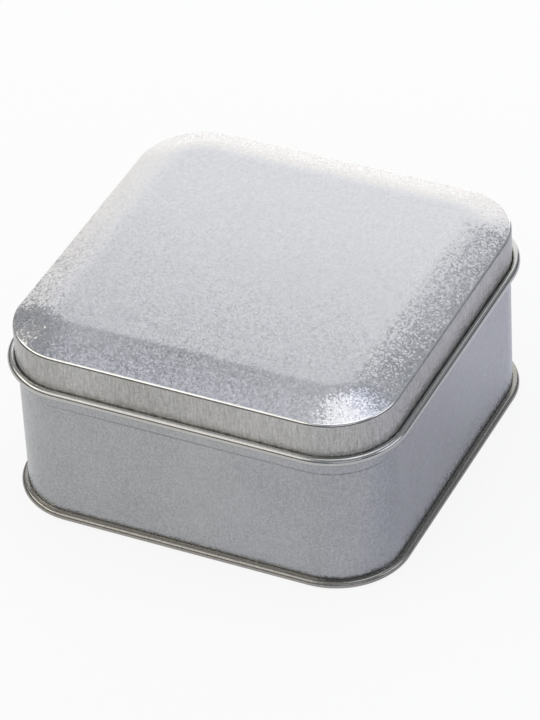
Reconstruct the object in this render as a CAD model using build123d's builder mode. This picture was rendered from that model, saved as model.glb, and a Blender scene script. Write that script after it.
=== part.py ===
from build123d import *
import math
import os

# Square tinplate box: a slip-on lid with a raised panel, a bent-round wall
# and a bottom seamed to it. The origin is under the middle, on the surface
# that the tin stands on. Every sheet is drawn by its middle line.

# Overall sizes of the closed tin
tin_side = 90.0
tin_height = 45.0
corner_radius = 15.0
sheet = 0.23

# Lid: skirt, bevel, panel and curled edge
skirt_depth = 9.7
lid_curl_diameter = 1.95
lid_curl_slot = 0.12
lid_curl_tuck_angle = 100.0
bevel_inset = 8.0
bevel_rise = 2.5
crease_bend_radius = 0.6
panel_bend_radius = 16.0
panel_flat_run = 0.5

# Fit of the lid on the wall
slip_gap = 0.12
seat_gap = 0.1
rim_gap = 0.3

# Wall: curled rim, stop bead, lap seam and foot flange
rim_curl_diameter = 1.6
rim_curl_angle = 290.0
bead_reach = 0.45
bead_flank = 0.8
bead_crest = 2.5
bead_bend_radius = 0.9
lap_width = 3.0
lap_end_gap = 0.4
flange_bend_radius = 0.35
flange_hook_angle = 140.0

# Bottom: rolled seam and recessed panel
seam_height = 1.65
seam_reach = 1.5
seam_play = 0.05
bottom_recess = 2.0
bottom_bend_radius = 0.4

# Half widths, from the curl's outside inwards
half_sheet = sheet / 2
lid_inside = tin_side / 2 - lid_curl_diameter
lid_outside = lid_inside + sheet
skirt_line = lid_inside + half_sheet
wall_outside = lid_inside - slip_gap
wall_line = wall_outside - half_sheet
wall_inside = wall_outside - sheet

# Heights of the lid
crease_height = tin_height - bevel_rise
curl_underside = crease_height - skirt_depth
lid_curl_height = curl_underside + lid_curl_diameter / 2
panel_line_height = tin_height - half_sheet

# Radii of the curls' and bends' middle lines
lid_curl_radius = lid_curl_diameter / 2 - half_sheet
lid_tuck_radius = lid_curl_radius - sheet - lid_curl_slot
rim_curl_radius = rim_curl_diameter / 2 - half_sheet
seam_hook_radius = seam_height / 2 - half_sheet
flange_hook_radius = seam_hook_radius - sheet - seam_play

# Bevel's middle line, half a sheet inside its outer face
bevel_angle = math.atan2(bevel_rise, bevel_inset)
bevel_drop = half_sheet / math.cos(bevel_angle)
crease_line_height = crease_height + half_sheet * math.tan(bevel_angle) - bevel_drop
panel_edge_line = skirt_line - (panel_line_height - crease_line_height) / math.tan(bevel_angle)
panel_bend_run = panel_bend_radius * math.tan(bevel_angle / 2)
panel_flat = panel_edge_line - panel_bend_run - panel_flat_run

# Wall heights
rim_height = crease_height - sheet - rim_gap
rim_curl_height = rim_height - rim_curl_diameter / 2
crest_top = curl_underside - seat_gap
crest_bottom = crest_top - bead_crest
flange_height = seam_height / 2 + flange_hook_radius

# Seam places, measured outwards from the middle
seam_hook_centre = wall_outside + seam_reach - seam_height / 2
seam_lip = wall_outside + flange_bend_radius / 2
chuck_line = wall_inside - seam_play - half_sheet
bottom_panel_line_height = bottom_recess + half_sheet
bottom_flat = chuck_line - bottom_bend_radius - panel_flat_run

# The outline round which every section runs, from the middle of the +X side
with BuildLine() as outline:
    FilletPolyline(
        (lid_outside, 0),
        (lid_outside, lid_outside),
        (-lid_outside, lid_outside),
        (-lid_outside, 0),
        radius=corner_radius,
    )
    mirror(about=Plane.XZ)


def plate(half_width):
    """Draw a rounded square whose corners share the outline's corner centres."""
    RectangleRounded(
        2 * half_width,
        2 * half_width,
        corner_radius - (lid_outside - half_width),
    )


# Lid: panel edge, bevel, crease, skirt and outward curl in one section
with BuildPart() as lid:
    with BuildSketch(Plane.XZ) as lid_section:
        with BuildLine() as lid_line:
            FilletPolyline(
                (panel_flat, panel_line_height),
                (panel_edge_line, panel_line_height),
                (skirt_line, crease_line_height),
                (skirt_line, lid_curl_height),
                radius=[panel_bend_radius, crease_bend_radius - half_sheet],
            )
            CenterArc(
                (skirt_line + lid_curl_radius, lid_curl_height),
                lid_curl_radius,
                180,
                270,
            )
            CenterArc(
                (skirt_line + lid_curl_radius, lid_curl_height + lid_curl_radius - lid_tuck_radius),
                lid_tuck_radius,
                90,
                lid_curl_tuck_angle,
            )
        trace(line_width=sheet)
    sweep(path=outline.wire())
    with BuildSketch(Plane.XY.offset(tin_height - sheet)):
        plate(panel_flat)
    extrude(amount=sheet)
lid.part.label = "lid"


def bead_points(line):
    """Corners of the stop bead on a sheet whose middle line is given, from the top down."""
    return [
        (line, crest_top + bead_flank),
        (line + bead_reach, crest_top),
        (line + bead_reach, crest_bottom),
        (line, crest_bottom - bead_flank),
    ]


# Wall: inward rim curl, stop bead, straight side and foot flange in one section
with BuildPart() as body_wall:
    with BuildSketch(Plane.XZ) as wall_section:
        with BuildLine() as wall_middle:
            CenterArc(
                (wall_line - rim_curl_radius, rim_curl_height),
                rim_curl_radius,
                0,
                rim_curl_angle,
            )
            FilletPolyline(
                (wall_line, rim_curl_height),
                *bead_points(wall_line),
                (wall_line, flange_height),
                (seam_hook_centre, flange_height),
                radius=[bead_bend_radius] * 4 + [flange_bend_radius],
            )
            CenterArc(
                (seam_hook_centre, seam_height / 2),
                flange_hook_radius,
                90,
                -flange_hook_angle,
            )
        trace(line_width=sheet)
    sweep(path=outline.wire())
    # The strip's end laps inside its start at the middle of the back
    with BuildSketch(Plane.YZ) as lap_section:
        with BuildLine() as lap_middle:
            FilletPolyline(
                (wall_line - sheet, rim_height - rim_curl_diameter - lap_end_gap),
                *bead_points(wall_line - sheet),
                (wall_line - sheet, bottom_recess + sheet + lap_end_gap),
                radius=bead_bend_radius,
            )
        trace(line_width=sheet)
    extrude(amount=lap_width / 2, both=True)
body_wall.part.label = "body_wall"

# Bottom: panel, short upright wall and the hook rolled round the wall's flange
with BuildPart() as bottom_panel:
    with BuildSketch(Plane.XZ) as bottom_section:
        with BuildLine() as bottom_line:
            FilletPolyline(
                (bottom_flat, bottom_panel_line_height),
                (chuck_line, bottom_panel_line_height),
                (chuck_line, half_sheet),
                (seam_hook_centre, half_sheet),
                radius=bottom_bend_radius,
            )
            CenterArc(
                (seam_hook_centre, seam_height / 2),
                seam_hook_radius,
                -90,
                180,
            )
            Line(
                (seam_hook_centre, seam_height - half_sheet),
                (seam_lip, seam_height - half_sheet),
            )
        trace(line_width=sheet)
    sweep(path=outline.wire())
    with BuildSketch(Plane.XY.offset(bottom_recess)):
        plate(bottom_flat)
    extrude(amount=sheet)
bottom_panel.part.label = "bottom_panel"

os.makedirs("parts", exist_ok=True)
export_step(lid.part, "parts/lid.step")
export_step(body_wall.part, "parts/body_wall.step")
export_step(bottom_panel.part, "parts/bottom_panel.step")
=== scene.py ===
"""Stamp box: a square slip-lid tin of unprinted stone-finish tinplate.

The lid, the body wall and the seamed bottom are one bent sheet each. A sheet
is drawn by the middle line of its section, carried round the tin's rounded
square, closed with its plate and then given its thickness.
"""
import logging
import math
from collections.abc import Callable
from dataclasses import dataclass
from enum import Enum

import bmesh
import bpy
from mathutils import Matrix, Vector


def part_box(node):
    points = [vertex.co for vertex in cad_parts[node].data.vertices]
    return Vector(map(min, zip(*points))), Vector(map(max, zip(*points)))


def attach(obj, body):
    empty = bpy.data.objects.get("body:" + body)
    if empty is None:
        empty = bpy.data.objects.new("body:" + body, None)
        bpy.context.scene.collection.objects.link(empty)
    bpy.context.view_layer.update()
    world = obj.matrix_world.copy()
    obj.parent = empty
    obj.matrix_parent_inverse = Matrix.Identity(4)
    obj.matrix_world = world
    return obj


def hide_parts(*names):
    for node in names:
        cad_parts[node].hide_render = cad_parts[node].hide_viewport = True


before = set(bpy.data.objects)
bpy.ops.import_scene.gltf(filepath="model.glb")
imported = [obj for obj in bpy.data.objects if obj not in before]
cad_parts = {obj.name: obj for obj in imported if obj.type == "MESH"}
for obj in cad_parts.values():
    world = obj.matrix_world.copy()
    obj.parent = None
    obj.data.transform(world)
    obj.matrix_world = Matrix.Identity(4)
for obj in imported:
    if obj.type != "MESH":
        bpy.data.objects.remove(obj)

log = logging.getLogger("stamp_box")

MM = 0.001
PHOTO_WIDTH = 540
PHOTO_HEIGHT = 720
STARTUP_OBJECTS = ("Cube", "Light", "Camera")

# Sharpest bend that is shaded smooth, and the range that most of a noise's values lie in
SMOOTH_DEGREES = 40.0
NOISE_LOW = 0.3
NOISE_HIGH = 0.7
WHITE = "ffffff"

Tree = bpy.types.NodeTree
Node = bpy.types.Node
Socket = bpy.types.NodeSocket
Material = bpy.types.Material
Piece = bpy.types.Object
Point = tuple[float, float, float]
Range = tuple[float, float]
Colour = tuple[float, float, float, float]
SectionTest = Callable[[float, float, Vector], bool]


class Body(Enum):
    """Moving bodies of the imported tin."""

    TIN = "tin_body"
    LID = "tin_lid"


class Turn(Enum):
    """Which way a bend turns the sheet, for a pen that starts inside the tin and heads outwards."""

    UPWARD = 1.0
    DOWNWARD = -1.0


# Sizes

@dataclass(frozen=True)
class TinSizes:
    """Driving sizes of the closed tin in millimetres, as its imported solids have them."""

    side: float
    height: float
    corner_radius: float = 15.0
    sheet: float = 0.23
    bevel_rise: float = 2.5
    skirt_depth: float = 9.7
    lid_curl_diameter: float = 1.95
    slip_gap: float = 0.12
    flange_bend_radius: float = 0.35
    seam_height: float = 1.65
    seam_reach: float = 1.5
    seam_play: float = 0.05
    bottom_recess: float = 2.0
    corner_steps: int = 20
    side_steps: int = 10
    weld_distance: float = 0.0115
    match_distance: float = 0.0575

    @classmethod
    def from_frame(cls) -> "TinSizes":
        """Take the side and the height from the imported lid's box."""
        low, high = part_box("lid")
        return cls(side=(high.x - low.x) / MM, height=high.z / MM)

    @property
    def crease_height(self) -> float:
        """Height at which the planes of the bevel and the skirt meet."""
        return self.height - self.bevel_rise

    @property
    def lid_inside(self) -> float:
        """Half width of the skirt's inner face."""
        return self.side / 2 - self.lid_curl_diameter

    @property
    def wall_outside(self) -> float:
        """Half width of the wall's outer face."""
        return self.lid_inside - self.slip_gap

    @property
    def wall_line(self) -> float:
        """Half width of the wall's middle line."""
        return self.wall_outside - self.sheet / 2

    @property
    def seam_hook_centre(self) -> float:
        """Half width at which the hooks of the foot's seam have their centres."""
        return self.wall_outside + self.seam_reach - self.seam_height / 2

    @property
    def corner_centre(self) -> float:
        """How far the corners' common centres lie from the tin's middle planes."""
        return self.lid_inside + self.sheet - self.corner_radius

    def past_corner(self, point: Vector) -> Range:
        """Measure how far a point lies beyond the corners' centres, along X and along Y."""
        return (abs(point.x) / MM - self.corner_centre, abs(point.y) / MM - self.corner_centre)

    def reach_of(self, point: Vector) -> float:
        """Measure how far out a point lies, square to the rounded outline.

        Args:
            point: A place on the tin in metres.

        Returns:
            Half width in millimetres of the rounded square through the point.
        """
        past_x, past_y = self.past_corner(point)
        if past_x > 0 and past_y > 0:
            return self.corner_centre + math.hypot(past_x, past_y)
        return self.corner_centre + max(past_x, past_y)

    def section_normal(self, point: Vector, normal: Vector) -> Vector:
        """Turn a normal into the plane of the section that passes through its place.

        Args:
            point: A place on the tin in metres.
            normal: The surface's normal there.

        Returns:
            How far the normal points outwards, and how far upwards.
        """
        past_x, past_y = self.past_corner(point)
        if past_x > 0 and past_y > 0:
            out_x, out_y = past_x, past_y
        else:
            out_x, out_y = float(past_x > past_y), float(past_x <= past_y)
        out_x = math.copysign(out_x, point.x)
        out_y = math.copysign(out_y, point.y)
        outward = (normal.x * out_x + normal.y * out_y) / math.hypot(out_x, out_y)
        return Vector((outward, normal.z))


# Sheet drawing

@dataclass
class SheetLine:
    """Middle line of a sheet's section, bent in edit mode as the strip would be.

    The pen works in the plane where the +X side's straight run starts. Its
    heading is in degrees, counted from outwards towards upwards.
    """

    name: str
    sizes: TinSizes
    reach: float
    height: float
    heading: float = 0.0
    piece: Piece | None = None

    def begin(self) -> "SheetLine":
        """Weld a small plane to the line's first vertex and stay in edit mode.

        Returns:
            The line itself, for its first run.
        """
        bpy.ops.object.select_all(action="DESELECT")
        bpy.ops.mesh.primitive_plane_add(size=MM, location=self.place())
        self.piece = bpy.context.object
        self.piece.name = self.name
        self.piece.data.name = self.name
        bpy.ops.object.transform_apply(location=True, rotation=True, scale=True)
        bpy.ops.object.mode_set(mode="EDIT")
        bpy.ops.mesh.select_mode(type="VERT")
        bpy.ops.mesh.merge(type="CENTER")
        bpy.ops.mesh.select_all(action="SELECT")
        return self

    def place(self) -> Point:
        """Give the pen's place in metres."""
        return (self.reach * MM, -self.sizes.corner_centre * MM, self.height * MM)

    def straight(self, length: float) -> "SheetLine":
        """Extrude a straight run.

        Args:
            length: Its length in millimetres.

        Returns:
            The line itself, for the next bend.
        """
        angle = math.radians(self.heading)
        step = Vector((math.cos(angle), 0, math.sin(angle))) * length
        bpy.ops.mesh.extrude_region_move(TRANSFORM_OT_translate={"value": step * MM})
        self.reach += step.x
        self.height += step.z
        return self

    def bend(self, radius: float, degrees: float, turn: Turn, steps: int) -> "SheetLine":
        """Spin the line's end round a bend's centre.

        Args:
            radius: Radius of the middle line in millimetres.
            degrees: Angle of the bend.
            turn: Which way it turns.
            steps: How many edges it is given.

        Returns:
            The line itself, for the next run.
        """
        side = turn.value
        angle = math.radians(self.heading)
        centre_reach = self.reach - side * radius * math.sin(angle)
        centre_height = self.height + side * radius * math.cos(angle)
        bpy.ops.mesh.spin(
            steps=steps,
            angle=math.radians(degrees),
            center=(centre_reach * MM, self.place()[1], centre_height * MM),
            axis=(0, side, 0),
        )
        self.heading += side * degrees
        turned = math.radians(self.heading)
        self.reach = centre_reach + side * radius * math.sin(turned)
        self.height = centre_height - side * radius * math.cos(turned)
        return self

    def carry_round(self) -> Piece:
        """Carry the whole section round the rounded square and weld it into a ring.

        Returns:
            The ring of sheet, still in edit mode.
        """
        centre = self.sizes.corner_centre * MM
        steps = self.sizes.side_steps
        bpy.ops.mesh.select_all(action="SELECT")
        for quarter in range(4):
            turned = Matrix.Rotation(quarter * math.pi / 2, 3, "Z")
            run = turned @ Vector((0, 2 * centre, 0))
            bpy.ops.mesh.extrude_repeat(steps=steps, offset=run / steps)
            bpy.ops.mesh.spin(
                steps=self.sizes.corner_steps,
                angle=math.pi / 2,
                center=turned @ Vector((centre, centre, 0)),
                axis=(0, 0, -1),
            )
        bpy.ops.mesh.select_all(action="SELECT")
        bpy.ops.mesh.remove_doubles(threshold=self.sizes.weld_distance * MM)
        return self.piece


def select_edges_near(piece: Piece, sizes: TinSizes, reach: float, height: float) -> None:
    """Select the open edges that run round the tin at one place of the section, in edit mode.

    Args:
        piece: The ring of sheet in edit mode.
        sizes: The tin's sizes.
        reach: Half width of the loop in millimetres.
        height: Height of the loop in millimetres.
    """
    bpy.ops.mesh.select_mode(type="EDGE")
    bpy.ops.mesh.select_all(action="DESELECT")
    shape = bmesh.from_edit_mesh(piece.data)
    for edge in shape.edges:
        near = all(
            abs(sizes.reach_of(corner.co) - reach) < sizes.match_distance
            and abs(corner.co.z / MM - height) < sizes.match_distance
            for corner in edge.verts
        )
        edge.select_set(near and edge.is_boundary)
    bmesh.update_edit_mesh(piece.data)


def select_faces_where(piece: Piece, sizes: TinSizes, test: SectionTest) -> None:
    """Select the faces that pass a test of their place in the section, in edit mode.

    Args:
        piece: The sheet in edit mode.
        sizes: The tin's sizes.
        test: Takes a face's reach, its height and its normal in the section.
    """
    bpy.ops.mesh.select_mode(type="FACE")
    bpy.ops.mesh.select_all(action="DESELECT")
    shape = bmesh.from_edit_mesh(piece.data)
    for face in shape.faces:
        middle = face.calc_center_median()
        facing = sizes.section_normal(middle, face.normal)
        face.select_set(test(sizes.reach_of(middle), middle.z / MM, facing))
    bmesh.update_edit_mesh(piece.data)


def give_thickness(piece: Piece, sheet: float) -> None:
    """Turn the sheet's faces outwards, give the sheet its thickness and smooth its bends.

    Args:
        piece: The single-layer sheet, in edit mode. It is left in object mode.
        sheet: Sheet thickness in millimetres.
    """
    bpy.ops.mesh.select_all(action="SELECT")
    bpy.ops.mesh.normals_make_consistent(inside=False)
    bpy.ops.object.mode_set(mode="OBJECT")
    wall = piece.modifiers.new("sheet", "SOLIDIFY")
    wall.thickness = sheet * MM
    wall.offset = 0.0
    wall.use_even_offset = True
    bpy.ops.object.modifier_apply(modifier=wall.name)
    bpy.ops.object.mode_set(mode="EDIT")
    bpy.ops.mesh.select_all(action="SELECT")
    bpy.ops.mesh.normals_make_consistent(inside=False)
    bpy.ops.object.mode_set(mode="OBJECT")
    bpy.ops.object.shade_smooth_by_angle(angle=math.radians(SMOOTH_DEGREES))


def clad(piece: Piece, sizes: TinSizes, field: Material, zones: dict[Material, SectionTest]) -> None:
    """Give a sheet its finish, and its further zones, changed by a tool or given painted light and
    shade, their own.

    Args:
        piece: The finished sheet in object mode.
        sizes: The tin's sizes.
        field: Material of the whole sheet.
        zones: Test of each further material's faces.
    """
    bpy.ops.object.select_all(action="DESELECT")
    piece.select_set(True)
    bpy.context.view_layer.objects.active = piece
    piece.data.materials.append(field)
    for number, (material, test) in enumerate(zones.items(), start=1):
        piece.data.materials.append(material)
        bpy.ops.object.mode_set(mode="EDIT")
        select_faces_where(piece, sizes, test)
        piece.active_material_index = number
        bpy.ops.object.material_slot_assign()
        bpy.ops.object.mode_set(mode="OBJECT")


# Finishes

def linear(tone: str) -> Colour:
    """Turn an sRGB hex colour into Blender's linear values.

    Args:
        tone: Six hex digits.

    Returns:
        Red, green and blue, and full opacity.
    """
    parts = [int(tone[place:place + 2], 16) / 255 for place in (0, 2, 4)]
    # The standard sRGB curve, a straight line near black and a power above it
    red, green, blue = (
        part / 12.92 if part <= 0.04045 else ((part + 0.055) / 1.055) ** 2.4 for part in parts
    )
    return (red, green, blue, 1.0)


def add_node(
    tree: Tree,
    kind: str,
    settings: dict[str | int, object] | None = None,
    links: dict[str | int, Socket] | None = None,
) -> Node:
    """Add a node, set its sockets or properties, and link its inputs.

    Args:
        tree: The node tree that gets the node.
        kind: Blender's name of the node type.
        settings: Values by input name or number, or by property name.
        links: Output sockets by input name or number.

    Returns:
        The new node.
    """
    node = tree.nodes.new(kind)
    for key, value in (settings or {}).items():
        if isinstance(key, int) or key in node.inputs:
            node.inputs[key].default_value = value
        else:
            setattr(node, key, value)
    for key, source in (links or {}).items():
        tree.links.new(source, node.inputs[key])
    return node


def new_tree(name: str) -> tuple[Material, Tree, Node]:
    """Make a material with nodes.

    Args:
        name: The material's name.

    Returns:
        The material, its node tree and its Principled shader.
    """
    material = bpy.data.materials.new(name)
    material.use_nodes = True
    tree = material.node_tree
    return material, tree, tree.nodes["Principled BSDF"]


@dataclass(frozen=True)
class LapLine:
    """Upright line at the back where the wall strip's outer end shows, in millimetres."""

    across: float = 1.5
    half_width: float = 0.07
    behind: float = 30.0
    depth: float = 0.05
    tone: str = "5c5d5f"

    def mark(self, tree: Tree, place: Socket) -> Socket:
        """Tell the line from the rest of the wall.

        Args:
            tree: The material's node tree.
            place: Object coordinates.

        Returns:
            A socket that is 1 on the line and 0 elsewhere.
        """
        axes = add_node(tree, "ShaderNodeSeparateXYZ", links={"Vector": place})
        near = add_node(
            tree, "ShaderNodeMath",
            {"operation": "COMPARE", 1: self.across * MM, 2: self.half_width * MM},
            {0: axes.outputs["X"]},
        )
        behind = add_node(
            tree, "ShaderNodeMath", {"operation": "GREATER_THAN", 1: self.behind * MM},
            {0: axes.outputs["Y"]},
        )
        both = add_node(
            tree, "ShaderNodeMath", {"operation": "MULTIPLY"},
            {0: near.outputs[0], 1: behind.outputs[0]},
        )
        return both.outputs[0]


@dataclass(frozen=True)
class Tinplate:
    """Cold-rolled steel sheet with a matte, flow-free tin coat on a blasted roll's texture.

    The coat's shallow orange-peel grain breaks the soft reflections into a pearly
    sparkle, most where a bend turns it towards the edge of a lamp. Rolling leaves
    faint streaks, and the tin's tone drifts slightly over a few centimetres.
    Lengths are in millimetres, and a shade is a share of the way between the tones.
    """

    name: str
    tone: str = "cecdcf"
    deep_tone: str = "b8b8b9"
    roughness: float = 0.23
    roughness_spread: float = 0.04
    grain: float = 0.37
    grain_shade: float = 0.75
    grain_tilt: float = 0.16
    flat_share: float = 1.0
    flat_height: float = 45.0
    bevel_height: float = 44.93
    streak_width: float = 0.32
    streak_run: Point = (1.0, 1.0, 0.12)
    streak_relief: float = 0.0
    streak_shade: float = 0.0
    drift_size: float = 18.0
    drift_shade: float = 0.25
    lap: LapLine | None = None

    def material(self) -> Material:
        """Build the finish's material.

        Returns:
            The node-based material.
        """
        material, tree, shader = new_tree(self.name)
        place = add_node(tree, "ShaderNodeTexCoord").outputs["Object"]
        # The tone drifts as the coat's crystals differ from place to place
        drift = add_node(
            tree, "ShaderNodeTexNoise", {"Scale": 1 / (self.drift_size * MM), "Detail": 3.0},
            {"Vector": place},
        )
        # Grains of the blasted roll; the real 0.2 mm grit is drawn twice as coarse to show
        grains = add_node(
            tree, "ShaderNodeTexVoronoi", {"Scale": 1 / (self.grain * MM)}, {"Vector": place}
        )
        # Marks of the rolls and the die run upright, so the noise is drawn out along Z
        along = add_node(tree, "ShaderNodeMapping", {"Scale": self.streak_run}, {"Vector": place})
        streaks = add_node(
            tree, "ShaderNodeTexNoise", {"Scale": 1 / (self.streak_width * MM), "Detail": 2.0},
            {"Vector": along.outputs[0]},
        )
        low, high = self.roughness - self.roughness_spread, self.roughness + self.roughness_spread
        gloss = add_node(
            tree, "ShaderNodeMapRange",
            {"From Min": NOISE_LOW, "From Max": NOISE_HIGH, "To Min": low, "To Max": high},
            {"Value": drift.outputs["Fac"]},
        )
        colour = self.colour(tree, grains, streaks, drift)
        normal = self.relief(tree, place, grains, streaks)
        if self.lap:
            line = self.lap.mark(tree, place)
            colour = add_node(
                tree, "ShaderNodeMix", {"data_type": "RGBA", 7: linear(self.lap.tone)},
                {0: line, 6: colour},
            ).outputs[2]
            normal = add_node(
                tree, "ShaderNodeBump", {"Distance": self.lap.depth * MM, "invert": True},
                {"Height": line, "Normal": normal},
            ).outputs["Normal"]
        shader.inputs["Metallic"].default_value = 1.0
        tree.links.new(colour, shader.inputs["Base Color"])
        tree.links.new(gloss.outputs["Result"], shader.inputs["Roughness"])
        tree.links.new(normal, shader.inputs["Normal"])
        return material

    def colour(self, tree: Tree, grains: Node, streaks: Node, drift: Node) -> Socket:
        """Give every grain a shade of its own, with the streaks and the drift over it.

        Args:
            tree: The material's node tree.
            grains: The cells that stand for the grains.
            streaks: The streaks' noise.
            drift: The drift's noise.

        Returns:
            The base colour's output socket.
        """
        tint = add_node(
            tree, "ShaderNodeMath",
            {"operation": "MULTIPLY", 1: self.grain_shade - self.streak_shade},
            {0: grains.outputs["Color"]},
        )
        for noise, share in ((streaks, self.streak_shade), (drift, self.drift_shade)):
            over = add_node(
                tree, "ShaderNodeMapRange",
                {"From Min": NOISE_LOW, "From Max": NOISE_HIGH, "To Max": share},
                {"Value": noise.outputs["Fac"]},
            )
            tint = add_node(
                tree, "ShaderNodeMath", {"operation": "ADD", "use_clamp": True},
                {0: tint.outputs[0], 1: over.outputs["Result"]},
            )
        tinted = add_node(
            tree, "ShaderNodeMix",
            {"data_type": "RGBA", 6: linear(self.deep_tone), 7: linear(self.tone)},
            {0: tint.outputs[0]},
        )
        return tinted.outputs[2]

    def relief(self, tree: Tree, place: Socket, grains: Node, streaks: Node) -> Socket:
        """Raise the grains, and the streaks where the finish has any.

        Args:
            tree: The material's node tree.
            place: Object coordinates.
            grains: The cells that stand for the grains.
            streaks: The streaks' noise.

        Returns:
            The bumped normal's output socket.
        """
        bump = add_node(
            tree, "ShaderNodeBump", {"Distance": self.grain_tilt},
            {"Height": self.grain_height(tree, place, grains)},
        )
        if self.flat_share < 1:
            # The press stretches the bevel, which coarsens the grain there
            axes = add_node(tree, "ShaderNodeSeparateXYZ", links={"Vector": place})
            top, below = self.flat_height * MM, self.bevel_height * MM
            stretch = add_node(
                tree, "ShaderNodeMapRange",
                {"From Min": top, "From Max": below, "To Min": self.flat_share},
                {"Value": axes.outputs["Z"]},
            )
            tree.links.new(stretch.outputs["Result"], bump.inputs["Strength"])
        if self.streak_relief:
            bump = add_node(
                tree, "ShaderNodeBump", {"Distance": self.streak_relief * MM},
                {"Height": streaks.outputs["Fac"], "Normal": bump.outputs["Normal"]},
            )
        return bump.outputs["Normal"]

    def grain_height(self, tree: Tree, place: Socket, grains: Node) -> Socket:
        """Tilt every grain about its own middle, each another way.

        Args:
            tree: The material's node tree.
            place: Object coordinates.
            grains: The cells that stand for the grains.

        Returns:
            Height in metres, for a grain that rises by up to half of the way across it.
        """
        askew = add_node(
            tree, "ShaderNodeVectorMath", {"operation": "SUBTRACT", 1: (0.5, 0.5, 0.5)},
            {0: grains.outputs["Color"]},
        )
        from_middle = add_node(
            tree, "ShaderNodeVectorMath", {"operation": "SUBTRACT"},
            {0: place, 1: grains.outputs["Position"]},
        )
        height = add_node(
            tree, "ShaderNodeVectorMath", {"operation": "DOT_PRODUCT"},
            {0: askew.outputs[0], 1: from_middle.outputs[0]},
        )
        return height.outputs["Value"]


class Finish(Enum):
    """What pressing, drawing, bending and rolling leave on the tinplate, and tones that paint
    highlight, light and shade into some zones.
    """

    # Panel and bevel: the blasted roll's own grain, a pearly sheen that sparkles on the slope
    PRESSED = Tinplate("stone_finish_tinplate", flat_share=0.45)
    # Skirt: the drawing die scores it, which shows as fine dark upright streaks
    DRAWN = Tinplate(
        "drawn_tinplate_skirt", tone="cccbc9", deep_tone="8a8986", roughness=0.31,
        grain_tilt=0.2, streak_relief=0.06, streak_shade=0.4,
    )
    # Wall: the bending rolls rub it to an even mid grey with a faint upright grain
    BENT = Tinplate(
        "bent_tinplate_wall", tone="b3b4b6", deep_tone="909193", roughness=0.26,
        grain_tilt=0.15, streak_relief=0.03, streak_shade=0.2, lap=LapLine(),
    )
    # Inside: no tool or hand rubs it, so it stays pale and soft
    INNER = Tinplate(
        "plain_tinplate_inside", tone="d3d3d5", deep_tone="c7c7c9", roughness=0.3, grain_tilt=0.08
    )
    # Underside: no roll smooths it, so its grain stays coarse and dull
    RECESSED = Tinplate(
        "recessed_tinplate_bottom", tone="b9babc", deep_tone="a5a7a9", grain_tilt=0.25
    )
    # Curls: the curling rolls burnish them, which gives a thin clean highlight
    ROLLED = Tinplate(
        "burnished_tinplate_roll", tone="bab9b6", deep_tone="aeadaa", roughness=0.15,
        roughness_spread=0.03, grain_tilt=0.02,
    )
    # Crease: smoother, with a lighter tone that paints a bright highlight line along it
    WORN = Tinplate(
        "painted_highlight_tinplate_crease", tone="e2e2df", deep_tone="d8d8d5", roughness=0.14,
        roughness_spread=0.02, grain_tilt=0.03,
    )
    # Below the crease: a dark tone, a painted dark reflection that sets a dark line under the bright
    # one
    RUBBED = Tinplate(
        "painted_dark_line_tinplate", tone="7e7c78", deep_tone="6e6c69", roughness=0.2, grain_tilt=0.05
    )
    # Grooves beside the curl and the seam: a bright tone, painted light that lifts the shade in them
    SHELTERED = Tinplate(
        "painted_light_tinplate_groove", tone="f2f2ef", deep_tone="e9e9e6", roughness=0.2, grain_tilt=0.02
    )
    # Foot's seam: the seaming rolls press it smooth; its darker tone is painted shade, for the floor's
    # contact shadow that it mirrors, and it is a little warm
    SEAMED = Tinplate(
        "seamed_and_shaded_tinplate_foot", tone="a09d97", deep_tone="8c8984", roughness=0.19, grain_tilt=0.05
    )


Palette = dict[Finish, Material]


# Pieces of the tin

# Lengths are in millimetres and angles in degrees. A facing is the least share of a
# face's normal that points out or up, or the range of that share.

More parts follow.
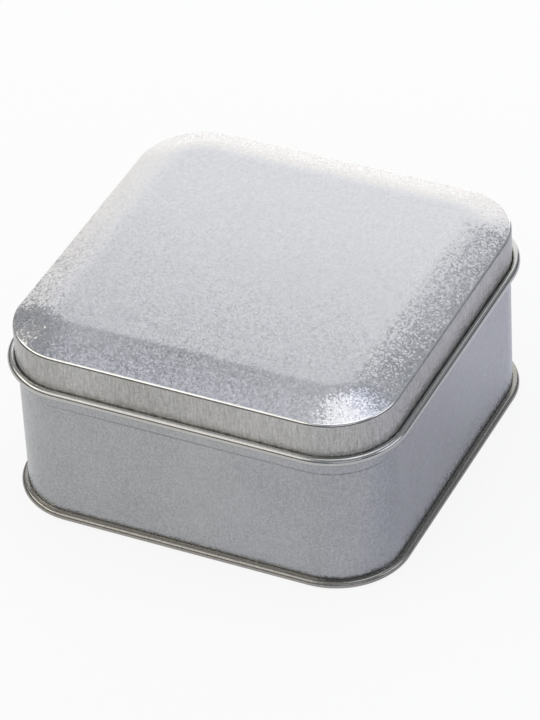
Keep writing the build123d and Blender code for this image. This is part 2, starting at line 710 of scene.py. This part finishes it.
@dataclass
class PressedLid:
    """Slip-on lid: raised panel, bevel, creased skirt and its outward curl, from one blank."""

    sizes: TinSizes
    bevel_inset: float = 8.0
    crease_bend_radius: float = 0.6
    panel_bend_radius: float = 16.0
    flat_run: float = 0.5
    curl_angle: float = 270.0
    curl_slot: float = 0.12
    tuck_angle: float = 100.0
    skirt_margin: float = 1.3
    crease_facing_up: Range = (0.1, 0.93)
    dark_line_facing_up: Range = (0.05, 0.45)
    groove_facing_out: float = -0.1
    groove_facing_up: float = -0.3

    def build(self) -> Piece:
        """Draw the section, carry it round and close the panel.

        Returns:
            The lid as a sheet with its thickness, in object mode.
        """
        half = self.sizes.sheet / 2
        skirt_line = self.sizes.lid_inside + half
        crease_height = self.sizes.crease_height
        panel_height = self.sizes.height - half
        angle = math.atan2(self.sizes.bevel_rise, self.bevel_inset)
        degrees = math.degrees(angle)
        crease_line = crease_height + half * math.tan(angle) - half / math.cos(angle)
        panel_edge = skirt_line - (panel_height - crease_line) / math.tan(angle)
        panel_run = self.panel_bend_radius * math.tan(angle / 2)
        crease_radius = self.crease_bend_radius - half
        crease_run = crease_radius * math.tan((math.pi / 2 - angle) / 2)
        bevel_length = (skirt_line - panel_edge) / math.cos(angle) - panel_run - crease_run
        curl_radius = self.sizes.lid_curl_diameter / 2 - half
        tuck_radius = curl_radius - self.sizes.sheet - self.curl_slot
        skirt_end = crease_height - self.sizes.skirt_depth + self.sizes.lid_curl_diameter / 2
        panel_flat = panel_edge - panel_run - self.flat_run

        line = SheetLine("lid_pressing", self.sizes, panel_flat, panel_height).begin()
        line.straight(self.flat_run)
        line.bend(self.panel_bend_radius, degrees, Turn.DOWNWARD, steps=10)
        line.straight(bevel_length)
        line.bend(crease_radius, 90 - degrees, Turn.DOWNWARD, steps=8)
        line.straight(line.height - skirt_end)
        line.bend(curl_radius, self.curl_angle, Turn.UPWARD, steps=28)
        line.bend(tuck_radius, self.tuck_angle, Turn.UPWARD, steps=10)
        lid = line.carry_round()
        select_edges_near(lid, self.sizes, panel_flat, panel_height)
        bpy.ops.mesh.edge_face_add()
        give_thickness(lid, self.sizes.sheet)
        return lid

    def dress(self, lid: Piece, palette: Palette) -> None:
        """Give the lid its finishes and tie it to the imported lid.

        Args:
            lid: The built lid.
            palette: Each finish's material.
        """
        skirt_top = self.sizes.crease_height - self.crease_bend_radius
        crease_start = skirt_top - self.sizes.sheet
        curl_start = self.sizes.lid_inside + self.sizes.sheet * self.skirt_margin
        curl_top = self.sizes.crease_height - self.sizes.skirt_depth
        curl_top += self.sizes.lid_curl_diameter

        def on_skirt(reach: float, height: float, normal: Vector) -> bool:
            """Tell whether a face is on the drawn skirt."""
            return height < skirt_top and reach < curl_start

        def on_crease(reach: float, height: float, normal: Vector) -> bool:
            """Tell whether a face is on the creased edge between the bevel and the skirt."""
            low, high = self.crease_facing_up
            return height > crease_start and low < abs(normal.y) < high

        def under_crease(reach: float, height: float, normal: Vector) -> bool:
            """Tell whether a face is on the crease's lower side, where it turns into the skirt."""
            # Faces that get the painted dark reflection below the crease
            low, high = self.dark_line_facing_up
            return height > crease_start and low < normal.y < high

        def on_curl(reach: float, height: float, normal: Vector) -> bool:
            """Tell whether a face is on the curled lower edge."""
            return height < curl_top and reach > curl_start

        def in_groove(reach: float, height: float, normal: Vector) -> bool:
            """Tell whether a face of the curl looks into the groove between it and the skirt."""
            inward = normal.x < self.groove_facing_out and normal.y > self.groove_facing_up
            return on_curl(reach, height, normal) and inward

        # The crease gets a painted highlight, the line under it a painted dark reflection, and the
        # groove painted light
        zones = {
            palette[Finish.DRAWN]: on_skirt,
            palette[Finish.WORN]: on_crease,
            palette[Finish.RUBBED]: under_crease,
            palette[Finish.ROLLED]: on_curl,
            palette[Finish.SHELTERED]: in_groove,
        }
        clad(lid, self.sizes, palette[Finish.PRESSED], zones)
        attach(lid, Body.LID.value)
        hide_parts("lid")


@dataclass
class BodyWall:
    """Wall strip bent round and lapped at the back, with curled rim, stop bead and foot flange."""

    sizes: TinSizes
    rim_gap: float = 0.3
    seat_gap: float = 0.1
    rim_curl_diameter: float = 1.6
    rim_curl_angle: float = 290.0
    bead_reach: float = 0.45
    bead_flank: float = 0.8
    bead_crest: float = 2.5
    bead_bend_radius: float = 0.9
    bead_bend_steps: int = 5
    lap_width: float = 3.0
    lap_end_gap: float = 0.4
    flange_hook_angle: float = 140.0
    inside_facing_out: float = -0.5
    groove_facing_out: float = -0.2
    groove_facing_up: float = 0.1

    @property
    def curl_underside(self) -> float:
        """Height of the closed lid's lower edge."""
        return self.sizes.crease_height - self.sizes.skirt_depth

    @property
    def rim_height(self) -> float:
        """Height of the wall's curled rim."""
        return self.sizes.crease_height - self.sizes.sheet - self.rim_gap

    def draw_bead(self, line: SheetLine, end: float) -> None:
        """Draw the stop bead and the straight run below it.

        Args:
            line: The line, heading down from above the bead.
            end: Height in millimetres at which the run below the bead ends.
        """
        flank_angle = math.atan2(self.bead_reach, self.bead_flank)
        degrees = math.degrees(flank_angle)
        cut = self.bead_bend_radius * math.tan(flank_angle / 2)
        flank = math.hypot(self.bead_reach, self.bead_flank) - 2 * cut
        crest_top = self.curl_underside - self.seat_gap
        steps = self.bead_bend_steps
        line.straight(line.height - (crest_top + self.bead_flank + cut))
        line.bend(self.bead_bend_radius, degrees, Turn.UPWARD, steps).straight(flank)
        line.bend(self.bead_bend_radius, degrees, Turn.DOWNWARD, steps)
        line.straight(self.bead_crest - 2 * cut)
        line.bend(self.bead_bend_radius, degrees, Turn.DOWNWARD, steps).straight(flank)
        line.bend(self.bead_bend_radius, degrees, Turn.UPWARD, steps)
        line.straight(line.height - end)

    def build(self) -> Piece:
        """Draw the wall's section, carry it round and lap its ends.

        Returns:
            The wall as a sheet with its thickness, in object mode.
        """
        half = self.sizes.sheet / 2
        rim_radius = self.rim_curl_diameter / 2 - half
        swept = math.radians(self.rim_curl_angle)
        seam_middle = self.sizes.seam_height / 2
        hook_radius = seam_middle - half - self.sizes.sheet - self.sizes.seam_play
        flange_height = seam_middle + hook_radius

        line = SheetLine(
            "wall_strip",
            self.sizes,
            self.sizes.wall_line - rim_radius + rim_radius * math.cos(swept),
            self.rim_height - self.rim_curl_diameter / 2 + rim_radius * math.sin(swept),
            self.rim_curl_angle - 90,
        ).begin()
        line.bend(rim_radius, self.rim_curl_angle, Turn.DOWNWARD, steps=26)
        self.draw_bead(line, flange_height + self.sizes.flange_bend_radius)
        line.bend(self.sizes.flange_bend_radius, 90, Turn.UPWARD, steps=6)
        line.straight(self.sizes.seam_hook_centre - line.reach)
        line.bend(hook_radius, self.flange_hook_angle, Turn.DOWNWARD, steps=12)
        wall = line.carry_round()
        give_thickness(wall, self.sizes.sheet)
        self.lap_ends(wall)
        return wall

    def lap_ends(self, wall: Piece) -> None:
        """Add the strip's inner end behind its outer one at the middle of the back.

        Args:
            wall: The wall in object mode. The lap is joined into it.
        """
        top = self.rim_height - self.rim_curl_diameter - self.lap_end_gap
        line = SheetLine("lap", self.sizes, self.sizes.wall_line - self.sizes.sheet, top, -90.0)
        line.begin()
        self.draw_bead(line, self.sizes.bottom_recess + self.sizes.sheet + self.lap_end_gap)
        lap = line.piece
        bpy.ops.mesh.select_all(action="SELECT")
        across = (0, self.lap_width * MM, 0)
        bpy.ops.mesh.extrude_region_move(TRANSFORM_OT_translate={"value": across})
        bpy.ops.mesh.select_all(action="SELECT")
        centred = (self.sizes.corner_centre - self.lap_width / 2) * MM
        bpy.ops.transform.translate(value=(0, centred, 0))
        bpy.ops.transform.rotate(value=-math.pi / 2, orient_axis="Z", center_override=(0, 0, 0))
        give_thickness(lap, self.sizes.sheet)
        bpy.ops.object.select_all(action="DESELECT")
        lap.select_set(True)
        wall.select_set(True)
        bpy.context.view_layer.objects.active = wall
        bpy.ops.object.join()

    def dress(self, wall: Piece, palette: Palette) -> None:
        """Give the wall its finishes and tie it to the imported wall.

        Args:
            wall: The built wall.
            palette: Each finish's material.
        """
        curl_bottom = self.rim_height - self.rim_curl_diameter
        flange_top = self.sizes.seam_height + self.sizes.flange_bend_radius

        def on_inside(reach: float, height: float, normal: Vector) -> bool:
            """Tell whether a face looks into the tin."""
            return normal.x < self.inside_facing_out and height < curl_bottom

        def on_rim(reach: float, height: float, normal: Vector) -> bool:
            """Tell whether a face is on the rim's curl."""
            return height > curl_bottom

        def in_groove(reach: float, height: float, normal: Vector) -> bool:
            """Tell whether a face is on the bend of the foot, in the groove above the seam."""
            upward = normal.x > self.groove_facing_out and normal.y > self.groove_facing_up
            return height < flange_top and upward

        # The groove above the seam gets painted light
        zones = {
            palette[Finish.INNER]: on_inside,
            palette[Finish.ROLLED]: on_rim,
            palette[Finish.SHELTERED]: in_groove,
        }
        clad(wall, self.sizes, palette[Finish.BENT], zones)
        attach(wall, Body.TIN.value)
        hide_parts("body_wall")


@dataclass
class SeamedBottom:
    """Recessed bottom plate whose edge is rolled round the wall's foot flange."""

    sizes: TinSizes
    bend_radius: float = 0.4
    flat_run: float = 0.5
    hook_angle: float = 180.0
    inside_facing_up: float = 0.5

    def build(self) -> Piece:
        """Draw the bottom's section, carry it round and close the plate.

        Returns:
            The bottom as a sheet with its thickness, in object mode.
        """
        sheet = self.sizes.sheet
        half = sheet / 2
        chuck_line = self.sizes.wall_outside - sheet - self.sizes.seam_play - half
        plate_height = self.sizes.bottom_recess + half
        plate_flat = chuck_line - self.bend_radius - self.flat_run
        hook_radius = self.sizes.seam_height / 2 - half
        lip = self.sizes.wall_outside + self.sizes.flange_bend_radius / 2

        line = SheetLine("seamed_bottom", self.sizes, plate_flat, plate_height).begin()
        line.straight(self.flat_run)
        line.bend(self.bend_radius, 90, Turn.DOWNWARD, steps=6)
        line.straight(line.height - half - self.bend_radius)
        line.bend(self.bend_radius, 90, Turn.UPWARD, steps=6)
        line.straight(self.sizes.seam_hook_centre - line.reach)
        line.bend(hook_radius, self.hook_angle, Turn.UPWARD, steps=20)
        line.straight(line.reach - lip)
        bottom = line.carry_round()
        select_edges_near(bottom, self.sizes, plate_flat, plate_height)
        bpy.ops.mesh.edge_face_add()
        give_thickness(bottom, sheet)
        return bottom

    def dress(self, bottom: Piece, palette: Palette) -> None:
        """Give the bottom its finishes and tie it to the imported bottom.

        Args:
            bottom: The built bottom.
            palette: Each finish's material.
        """
        seam_start = self.sizes.wall_outside - self.sizes.sheet

        def on_inside(reach: float, height: float, normal: Vector) -> bool:
            """Tell whether a face looks up into the tin."""
            return normal.y > self.inside_facing_up and reach < seam_start

        def on_seam(reach: float, height: float, normal: Vector) -> bool:
            """Tell whether a face is on the rolled seam."""
            return reach > seam_start

        # The seam's darker tone is partly painted shade
        zones = {palette[Finish.INNER]: on_inside, palette[Finish.SEAMED]: on_seam}
        clad(bottom, self.sizes, palette[Finish.RECESSED], zones)
        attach(bottom, Body.TIN.value)
        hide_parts("bottom_panel")


# Studio

@dataclass(frozen=True)
class StudioFloor:
    """Matt white board under the tin, wide enough to fill every view.

    Its side is in metres and its other lengths in millimetres. The glow is how far
    it looks white to cameras and mirrors. Only mirrors see its painted cool tint and painted shadow.
    """

    side: float = 8.0
    tone: str = "f1f1f1"
    roughness: float = 0.9
    specular: float = 0.2
    fibre: float = 0.5
    fibre_height: float = 0.05
    fibre_strength: float = 0.05
    glow: float = 0.87
    cool_tone: str = "f0f1fd"
    cool_right: Range = (-10.0, 50.0)
    cool_front: Range = (-52.0, -34.0)
    cool_share: float = 0.5
    shadow_tone: str = "d1d2dd"
    shadow_place: Point = (50.0, -3.0, 0.0)
    shadow_core: float = 15.0
    shadow_edge: float = 45.0

    def build(self) -> None:
        """Lay the floor."""
        bpy.ops.object.select_all(action="DESELECT")
        bpy.ops.mesh.primitive_plane_add(size=self.side, location=(0, 0, 0))
        floor = bpy.context.object
        floor.name = "studio_floor"
        floor.data.materials.append(self.material())

    def material(self) -> Material:
        """Build the board's matt paint, which cameras and mirrors see closer to white.

        Returns:
            The node-based material.
        """
        material, tree, shader = new_tree("matt_white_board")
        place = add_node(tree, "ShaderNodeTexCoord").outputs["Object"]
        # Paper fibres under the paint, which keep the board from looking like plastic
        fibre = add_node(
            tree, "ShaderNodeTexNoise", {"Scale": 1 / (self.fibre * MM), "Detail": 2.0},
            {"Vector": place},
        )
        bump = add_node(
            tree, "ShaderNodeBump",
            {"Strength": self.fibre_strength, "Distance": self.fibre_height * MM},
            {"Height": fibre.outputs["Fac"]},
        )
        shader.inputs["Base Color"].default_value = linear(self.tone)
        shader.inputs["Roughness"].default_value = self.roughness
        shader.inputs["Specular IOR Level"].default_value = self.specular
        tree.links.new(bump.outputs["Normal"], shader.inputs["Normal"])
        # Cameras, metal and glass see the glow, and the board lights the tin without it
        path = add_node(tree, "ShaderNodeLightPath")
        seen = path.outputs["Is Camera Ray"]
        for ray in ("Is Glossy Ray", "Is Transmission Ray"):
            seen = add_node(
                tree, "ShaderNodeMath", {"operation": "ADD", "use_clamp": True},
                {0: seen, 1: path.outputs[ray]},
            ).outputs[0]
        share = add_node(tree, "ShaderNodeMath", {"operation": "MULTIPLY", 1: self.glow}, {0: seen})
        board = add_node(
            tree, "ShaderNodeMix", {"data_type": "RGBA", 6: linear(WHITE)},
            {0: path.outputs["Is Glossy Ray"], 7: self.mirrored(tree, place)},
        )
        white = add_node(tree, "ShaderNodeEmission", {"Strength": 1.0}, {"Color": board.outputs[2]})
        mix = add_node(
            tree, "ShaderNodeMixShader",
            links={0: share.outputs[0], 1: shader.outputs[0], 2: white.outputs[0]},
        )
        tree.links.new(mix.outputs[0], tree.nodes["Material Output"].inputs["Surface"])
        return material

    def mirrored(self, tree: Tree, place: Socket) -> Socket:
        """Paint the board's tint and shadow as the tin's sides mirror it.

        Args:
            tree: The board's node tree.
            place: Object coordinates.

        Returns:
            The tint's output socket.
        """
        # Mirrors see a painted cool tint to the right, standing in for less of the warm light falling
        # there
        axes = add_node(tree, "ShaderNodeSeparateXYZ", links={"Vector": place})
        ways = (("X", self.cool_right, 0.0), ("Y", self.cool_front, self.cool_share))
        rightward, backward = (
            add_node(
                tree, "ShaderNodeMapRange",
                {"From Min": start * MM, "From Max": end * MM, "To Min": least},
                {"Value": axes.outputs[way]},
            )
            for way, (start, end), least in ways
        )
        cooled = add_node(
            tree, "ShaderNodeMath", {"operation": "MULTIPLY"},
            {0: rightward.outputs["Result"], 1: backward.outputs["Result"]},
        )
        cool = add_node(
            tree, "ShaderNodeMix",
            {"data_type": "RGBA", 6: linear(WHITE), 7: linear(self.cool_tone)},
            {0: cooled.outputs[0]},
        )
        # Mirrors see a painted soft shadow of the tin there too, which the glow would hide
        away = add_node(
            tree, "ShaderNodeVectorMath",
            {"operation": "DISTANCE", 1: Vector(self.shadow_place) * MM},
            {0: place},
        )
        shadow = add_node(
            tree, "ShaderNodeMapRange",
            {"From Min": self.shadow_edge * MM, "From Max": self.shadow_core * MM},
            {"Value": away.outputs["Value"]},
        )
        shaded = add_node(
            tree, "ShaderNodeMix", {"data_type": "RGBA", 7: linear(self.shadow_tone)},
            {0: shadow.outputs["Result"], 6: cool.outputs[2]},
        )
        return shaded.outputs[2]


@dataclass(frozen=True)
class Softbox:
    """A rectangular soft lamp that cameras don't see, in metres.

    Its level is how bright a mirror shows it, where 1 is white.
    """

    name: str
    place: Point
    aim: Point
    width: float
    height: float
    level: float
    tone: str = WHITE

    def build(self) -> None:
        """Hang the lamp and turn it to its aim."""
        lamp = bpy.data.lights.new(self.name, "AREA")
        lamp.shape = "RECTANGLE"
        lamp.size = self.width
        lamp.size_y = self.height
        lamp.energy = self.level * math.pi * self.width * self.height
        lamp.color = linear(self.tone)[:3]
        holder = bpy.data.objects.new(self.name, lamp)
        holder.location = self.place
        away = Vector(self.place) - Vector(self.aim)
        holder.rotation_mode = "QUATERNION"
        holder.rotation_quaternion = away.to_track_quat("Z", "Y")
        holder.visible_camera = False
        bpy.context.scene.collection.objects.link(holder)


@dataclass(frozen=True)
class SoftStudio:
    """Pale floor, dim room light and soft lamps.

    The horizon's end and the room's start are sines of the angle above the floor.
    """

    room_tone: str = "a8acb3"
    horizon_tone: str = "5a5d62"
    horizon_end: float = 0.15
    room_start: float = 0.42
    # Each lamp's place, aim, width and height, and then its level and tone
    lamps: tuple[Softbox, ...] = (
        Softbox("low_back_screen", (-0.185, 0.35, 0.1), (-0.185, 0.0, 0.1), 0.53, 0.2, 1.32, "fffcf6"),
        Softbox("high_back_screen", (-0.165, 0.35, 0.292), (-0.165, 0.0, 0.292), 0.49, 0.184, 0.98),
        Softbox("top_back_screen", (-0.21, 0.28, 0.56), (0.0, 0.0, 0.04), 0.3, 0.04, 1.3),
        Softbox("left_lamp", (-0.48, -0.12, 0.41), (0.0, -0.12, 0.41), 0.5, 0.18, 2.5, "fff9e8"),
        Softbox("left_back_lamp", (-0.42, 0.2, 0.35), (0.0, 0.0, 0.04), 0.06, 0.3, 0.2, "fff2dc"),
        Softbox("overhead_lamp", (0.105, 0.06, 0.75), (0.105, 0.06, 0.0), 0.45, 0.4, 1.45),
        Softbox("overhead_back_lamp", (0.17, 0.33, 0.75), (0.17, 0.33, 0.0), 0.33, 0.2, 1.08, "dfe6ff"),
        Softbox("corner_lamp", (-0.06, 0.32, 0.75), (-0.06, 0.32, 0.0), 0.13, 0.12, 1.15, "f0f3ff"),
        Softbox("strip_lamp", (-0.28, -0.035, 0.75), (-0.28, -0.035, 0.0), 0.11, 0.47, 0.86, "f6f4ff"),
        Softbox("left_front_lamp", (-0.31, -0.42, 0.51), (0.0, -0.04, 0.03), 0.5, 0.42, 1.3, "fff9ea"),
        Softbox("right_lamp", (0.55, 0.12, 0.28), (0.0, 0.0, 0.03), 0.4, 0.28, 1.3, "f0f3ff"),
        Softbox("right_front_lamp", (0.38, -0.46, 0.27), (0.0, 0.0, 0.03), 0.4, 0.2, 0.7, "f0f3ff"),
    )

    def build(self) -> None:
        """Lay the floor, light the room and hang the lamps."""
        StudioFloor().build()
        for lamp in self.lamps:
            lamp.build()
        bpy.context.scene.world = self.room()

    def room(self) -> bpy.types.World:
        """Make the dim room, which is darker towards the horizon than the ceiling.

        Returns:
            The node-based world.
        """
        world = bpy.data.worlds.new("studio_room")
        world.use_nodes = True
        tree = world.node_tree
        heading = add_node(tree, "ShaderNodeTexCoord").outputs["Generated"]
        axes = add_node(tree, "ShaderNodeSeparateXYZ", links={"Vector": heading})
        upward = add_node(
            tree, "ShaderNodeMapRange", {"From Min": self.horizon_end, "From Max": self.room_start},
            {"Value": axes.outputs["Z"]},
        )
        walls = add_node(
            tree, "ShaderNodeMix",
            {"data_type": "RGBA", 6: linear(self.horizon_tone), 7: linear(self.room_tone)},
            {0: upward.outputs["Result"]},
        )
        tree.links.new(walls.outputs[2], tree.nodes["Background"].inputs["Color"])
        return world


@dataclass(frozen=True)
class PhotographCamera:
    """Camera with the photograph's viewing angle, distance and framing.

    Its angles are in degrees, its distance and aim in metres and its sensor in
    millimetres. The focal length and the centre are in the photograph's pixels.
    """

    azimuth: float = 26.834
    elevation: float = 37.650
    roll: float = -3.258
    distance: float = 0.97412
    aim_height: float = 0.02127
    focal_pixels: float = 4571.54
    centre_column: float = 268.974
    centre_row: float = 352.168
    sensor: float = 36.0

    def build(self) -> None:
        """Place the camera and make it the scene's own."""
        azimuth = math.radians(self.azimuth)
        elevation = math.radians(self.elevation)
        roll = math.radians(self.roll)
        flat = math.cos(elevation)
        away = Vector((math.sin(azimuth) * flat, -math.cos(azimuth) * flat, math.sin(elevation)))
        level_right = Vector((math.cos(azimuth), math.sin(azimuth), 0))
        level_up = away.cross(level_right)
        right = math.cos(roll) * level_right + math.sin(roll) * level_up
        up = math.cos(roll) * level_up - math.sin(roll) * level_right
        lens = bpy.data.cameras.new("photograph_camera")
        lens.lens = self.focal_pixels / PHOTO_HEIGHT * self.sensor
        lens.sensor_width = self.sensor
        lens.shift_x = (PHOTO_WIDTH / 2 - self.centre_column) / PHOTO_HEIGHT
        lens.shift_y = (self.centre_row - PHOTO_HEIGHT / 2) / PHOTO_HEIGHT
        camera = bpy.data.objects.new("photograph_camera", lens)
        place = Vector((0, 0, self.aim_height)) + away * self.distance
        turned = Matrix((right, up, away)).transposed().to_4x4()
        camera.matrix_world = Matrix.Translation(place) @ turned
        bpy.context.scene.collection.objects.link(camera)
        bpy.context.scene.camera = camera


def clear_startup() -> None:
    """Remove what Blender's startup file may have put into the scene."""
    for name in STARTUP_OBJECTS:
        if name in bpy.data.objects:
            bpy.data.objects.remove(bpy.data.objects[name])


def main() -> None:
    """Build the tin and its studio."""
    logging.basicConfig(level=logging.INFO, format="%(name)s: %(message)s")
    clear_startup()
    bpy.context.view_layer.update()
    sizes = TinSizes.from_frame()
    palette = {finish: finish.value.material() for finish in Finish}
    for part in (PressedLid(sizes), BodyWall(sizes), SeamedBottom(sizes)):
        piece = part.build()
        part.dress(piece, palette)
        log.info("%s: %d faces", piece.name, len(piece.data.polygons))
    SoftStudio().build()
    log.info("studio floor and lamps")
    PhotographCamera().build()
    bpy.context.scene.view_settings.view_transform = "Standard"


if __name__ == "__main__":
    main()
